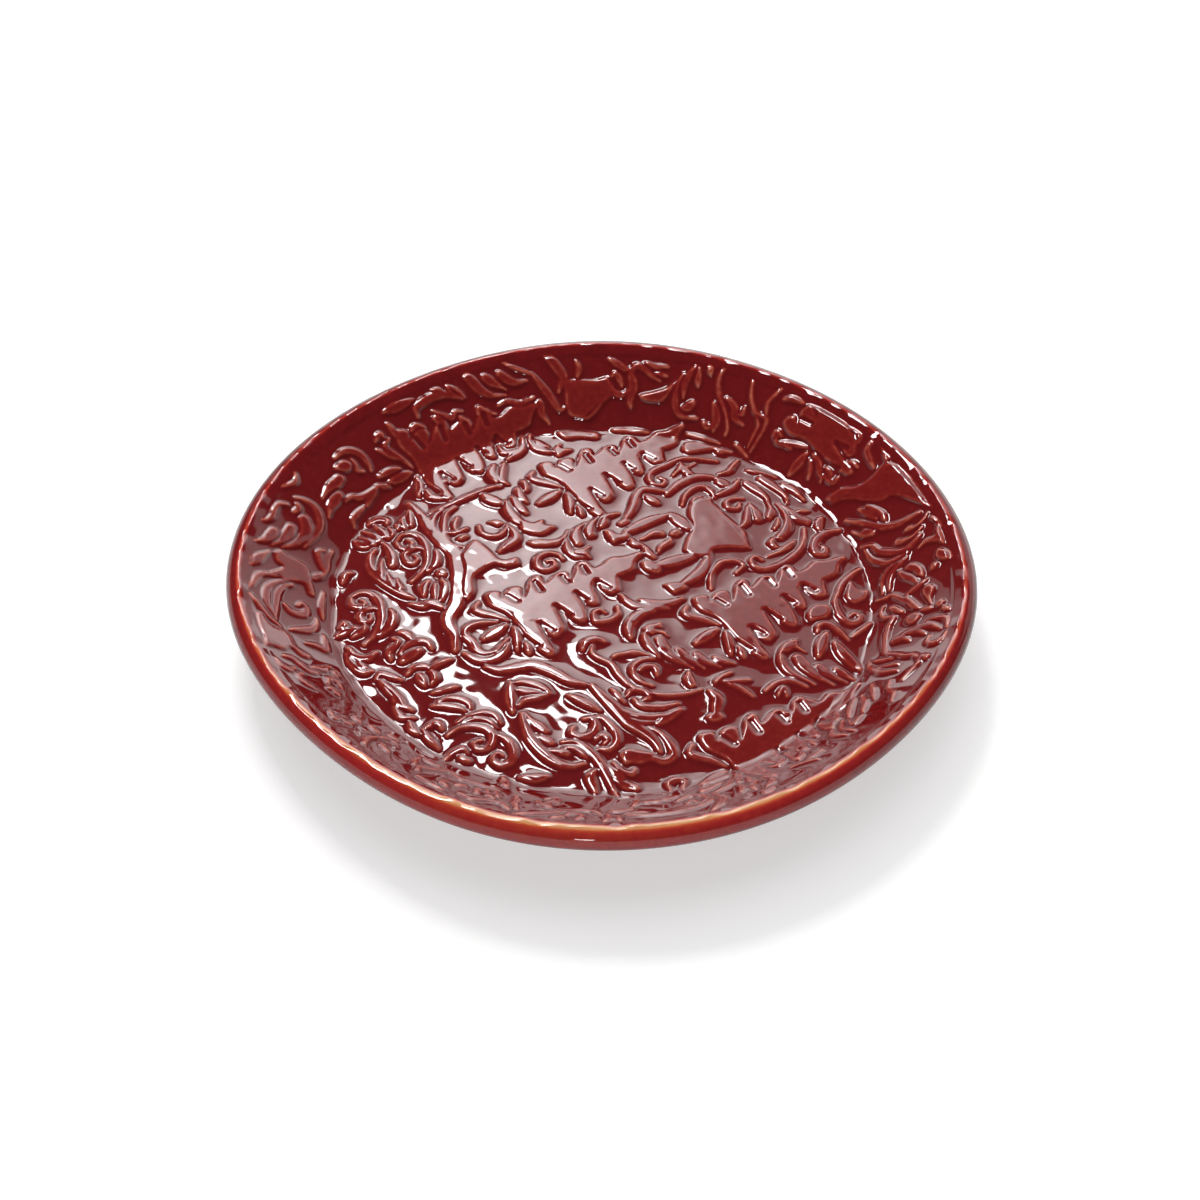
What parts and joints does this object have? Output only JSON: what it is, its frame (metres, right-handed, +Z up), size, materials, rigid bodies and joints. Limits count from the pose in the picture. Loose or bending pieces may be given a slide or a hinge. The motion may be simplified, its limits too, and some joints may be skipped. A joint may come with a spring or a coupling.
{
  "type": "ceramic plate",
  "caption": "Round shallow ceramic plate with a flat embossed well, a flared wall with a rounded edge and a low bare foot ring, glossy red glaze; holds food or small things on a table.",
  "frame": {"origin": "on the table, under the middle of the plate, in the plane of the foot ring's tread", "axes": "+Z up along the axis the plate is turned about, +Y away from the viewer of the picture, +X to their right"},
  "size_m": [0.22, 0.22, 0.0272],
  "materials": {
    "clay": "matt fired buff clay, hidden under the glaze",
    "foot": "matt bare fired clay, sponged smooth",
    "face_glaze": "glossy translucent deep red, salmon where it thins over raised edges",
    "rim_glaze": "glossy red that breaks to orange and tan on the edge",
    "back_glaze": "glossy plain deep red"
  },
  "bodies": {
    "root": {"clay_slab": "clay", "foot_ring": "foot", "face_glaze": "face_glaze", "rim_glaze": "rim_glaze", "back_glaze": "back_glaze", "base_glaze": "back_glaze"}
  },
  "joints": []
}
